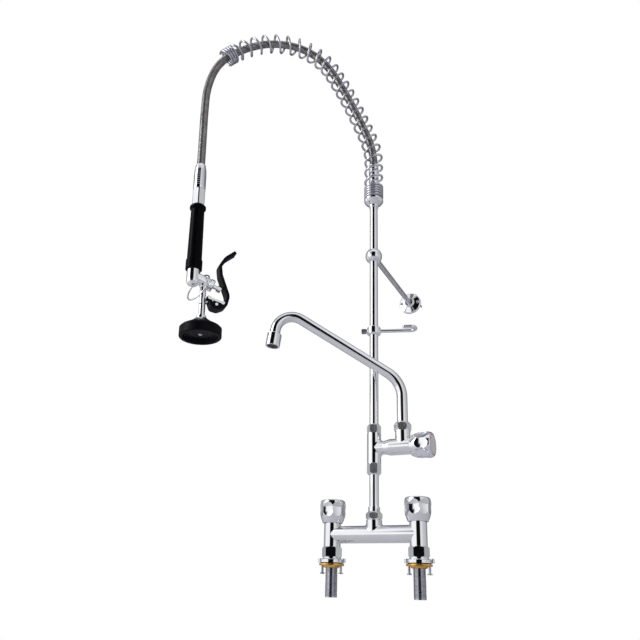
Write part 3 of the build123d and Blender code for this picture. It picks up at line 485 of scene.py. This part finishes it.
def addShank(name, x, node):
    low, high = inlet["low"], inlet["high"]
    deselectAll()
    bpy.ops.mesh.primitive_cylinder_add(vertices=64, radius=inlet["root"], depth=high - low,
                                        location=(x, 0, (low + high) / 2))
    core = bpy.context.object
    editMode(core)
    bpy.ops.mesh.select_mode(type="FACE")
    bpy.ops.mesh.select_all(action="DESELECT")
    objectMode()
    for face in core.data.polygons:
        face.select = face.normal.z > 0.9
    editMode(core)
    bpy.ops.mesh.extrude_region_move(TRANSFORM_OT_translate={"value": (0, 0, inlet["rise"])})
    widen = inlet["flange"] / inlet["root"]
    bpy.ops.transform.resize(value=(widen, widen, 1), center_override=(x, 0, high))
    bpy.ops.mesh.extrude_region_move(TRANSFORM_OT_translate={"value": (0, 0, inlet["flangeHeight"])})
    objectMode()
    for face in core.data.polygons:
        face.select = abs(face.normal.z) > 0.9 and len(face.vertices) > 20
    editMode(core)
    bpy.ops.mesh.inset(thickness=inlet["root"] - inlet["bore"], use_individual=True)
    # the two rims are joined through the middle as the waterway
    bpy.ops.mesh.bridge_edge_loops()
    objectMode()
    # the thread: a small triangle wound up the core
    turns = int((high - low - inlet["unthreaded"]) / inlet["pitch"])
    deselectAll()
    bpy.ops.mesh.primitive_circle_add(vertices=3, radius=inlet["pitch"] * inlet["tooth"], fill_type="NOTHING",
                                      location=(0, 0, 0), rotation=(math.pi / 2, 0, 0))
    tooth = bpy.context.object
    bpy.ops.object.transform_apply(location=True, rotation=True, scale=True)
    reach = inlet["crest"] - max(vertex.co.z for vertex in tooth.data.vertices)
    for vertex in tooth.data.vertices:
        vertex.co = (vertex.co.z + reach, 0, vertex.co.x + low + inlet["start"])
    wind = tooth.modifiers.new("wind", "SCREW")
    wind.axis = "Z"
    wind.screw_offset = inlet["pitch"]
    wind.iterations = turns
    wind.steps = inlet["steps"]
    wind.render_steps = inlet["steps"]
    bpy.ops.object.modifier_apply(modifier=wind.name)
    editMode(tooth)
    bpy.ops.mesh.select_all(action="SELECT")
    bpy.ops.mesh.fill_holes(sides=4)
    bpy.ops.mesh.normals_make_consistent(inside=False)
    objectMode()
    tooth.location.x = x
    deselectAll()
    tooth.select_set(True)
    core.select_set(True)
    bpy.context.view_layer.objects.active = core
    bpy.ops.object.join()
    settle(core, name, "thread_steel", "base", 40)
    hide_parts(node)


addShank("hotShankThread", -0.0762, "hot_shank")
addShank("coldShankThread", 0.0762, "cold_shank")
print("inlets threaded")


# studio: white all round, with dark cards that draw the lines in the plating
studio = {
    "facing": -63.9,
    "lowBands": [(-180, 0.70), (-171, 0.70), (-169, 0.10), (-158, 0.10), (-156, 1.0), (-41, 1.0), (-33, 0.004),
                 (11, 0.004), (19, 0.85), (34, 0.76), (60, 0.56), (120, 0.50), (154, 0.60), (156, 0.10),
                 (169, 0.10), (171, 0.70)],
    "highBands": [(-180, 0.70), (-160, 0.80), (-156, 1.0), (-50, 1.0), (-43, 0.004), (13, 0.004), (21, 0.80),
                  (34, 0.74), (60, 0.52), (154, 0.60)],
    "highFrom": 0.21,
    "highTo": 0.40,
    "roofFrom": 0.70,
    "roofTo": 0.80,
    "roof": (0.84, 0.84, 0.88, 1),
    "beyond": (-0.4019, 0.8207, 0.4062),
    "beyondRing": [(0.0, 0.0), (0.18, 0.0), (0.40, 0.50), (0.78, 0.72), (0.92, 0.95), (1.0, 0.95)],
    "beyondTone": (0.10, 0.10, 0.125, 1),
    "backdrop": (1, 1, 1, 1),
    "floorRadius": 2.4,
    "floorHeight": -0.25,
    "floorDark": (0.80, 0.80, 0.83),
    "floorLight": (0.84, 0.84, 0.87),
    "floorRough": 0.8,
}


def fillRamp(ramp, tones):
    stops = ramp.color_ramp.elements
    for index, (position, light) in enumerate(tones):
        stop = stops[index] if index < 2 else stops.new(position)
        stop.position = position
        stop.color = (light, light, light * 1.02, 1)


def blendTone(tree, share, first, second):
    # two tones mixed, each of them a socket or a plain value
    node = addNode(tree, "ShaderNodeMix", data_type="RGBA")
    tree.links.new(share, node.inputs["Factor"])
    for socket, tone in ((node.inputs["A"], first), (node.inputs["B"], second)):
        if isinstance(tone, tuple):
            socket.default_value = tone
        else:
            tree.links.new(tone, socket)
    return node.outputs["Result"]


def addWorld():
    world = bpy.data.worlds.new("studioWorld")
    scene.world = world
    world.use_nodes = True
    tree = world.node_tree
    ground = tree.nodes["Background"]
    coords = addNode(tree, "ShaderNodeTexCoord")
    parts = addNode(tree, "ShaderNodeSeparateXYZ")
    tree.links.new(coords.outputs["Generated"], parts.inputs["Vector"])
    around = addNode(tree, "ShaderNodeMath", operation="ARCTAN2")
    tree.links.new(parts.outputs["Y"], around.inputs[0])
    tree.links.new(parts.outputs["X"], around.inputs[1])
    turned = addNode(tree, "ShaderNodeMath", operation="SUBTRACT")
    tree.links.new(around.outputs["Value"], turned.inputs[0])
    turned.inputs[1].default_value = math.radians(studio["facing"])
    wrapped = addNode(tree, "ShaderNodeMath", operation="WRAP")
    tree.links.new(turned.outputs["Value"], wrapped.inputs[0])
    wrapped.inputs[1].default_value = -math.pi
    wrapped.inputs[2].default_value = math.pi
    share = spread(tree, wrapped.outputs["Value"], 0.0, 1.0, -math.pi, math.pi)
    bands = []
    for key in ("lowBands", "highBands"):
        ramp = addNode(tree, "ShaderNodeValToRGB")
        fillRamp(ramp, [((angle + 180) / 360, light) for angle, light in studio[key]])
        tree.links.new(share, ramp.inputs["Fac"])
        bands.append(ramp.outputs["Color"])
    # the dark card widens upward and stops under the roof
    height = parts.outputs["Z"]
    upward = spread(tree, height, 0.0, 1.0, studio["highFrom"], studio["highTo"])
    room = blendTone(tree, upward, *bands)
    overhead = spread(tree, height, 0.0, 1.0, studio["roofFrom"], studio["roofTo"])
    room = blendTone(tree, overhead, room, studio["roof"])
    # a grey ring far behind the faucet draws its outlines
    behind = addNode(tree, "ShaderNodeVectorMath", operation="DOT_PRODUCT")
    tree.links.new(coords.outputs["Generated"], behind.inputs[0])
    behind.inputs[1].default_value = studio["beyond"]
    ring = addNode(tree, "ShaderNodeValToRGB")
    fillRamp(ring, studio["beyondRing"])
    tree.links.new(behind.outputs["Value"], ring.inputs["Fac"])
    room = blendTone(tree, ring.outputs["Color"], room, studio["beyondTone"])
    # what is seen straight is white
    sight = addNode(tree, "ShaderNodeLightPath")
    seen = blendTone(tree, sight.outputs["Is Camera Ray"], room, studio["backdrop"])
    tree.links.new(seen, ground.inputs["Color"])
    ground.inputs["Strength"].default_value = 1.0


def addFloor():
    deselectAll()
    bpy.ops.mesh.primitive_circle_add(vertices=96, radius=studio["floorRadius"], fill_type="NGON",
                                      location=(0, 0, studio["floorHeight"]))
    floor = bpy.context.object
    floor.name = "studioFloor"
    material, tree, shader = newMaterial("floorPaper")
    tone = noise(tree, patternPlace(tree), 3, 2.0)
    tree.links.new(tint(tree, tone, studio["floorDark"], studio["floorLight"]), shader.inputs["Base Color"])
    shader.inputs["Roughness"].default_value = studio["floorRough"]
    floor.data.materials.append(material)


def addLight(name, place, aim, size, power):
    light = bpy.data.lights.new(name, "AREA")
    light.shape = "RECTANGLE"
    light.size, light.size_y = size
    light.energy = power
    lamp = bpy.data.objects.new(name, light)
    lamp.location = place
    lamp.rotation_euler = (Vector(aim) - Vector(place)).to_track_quat("-Z", "Y").to_euler()
    lamp.visible_camera = False
    scene.collection.objects.link(lamp)


addWorld()
addFloor()
addLight("softLeft", place=(-1.6, -1.5, 1.3), aim=(-0.1, -0.1, 0.6), size=(0.7, 1.6), power=14)
print("studio lit")
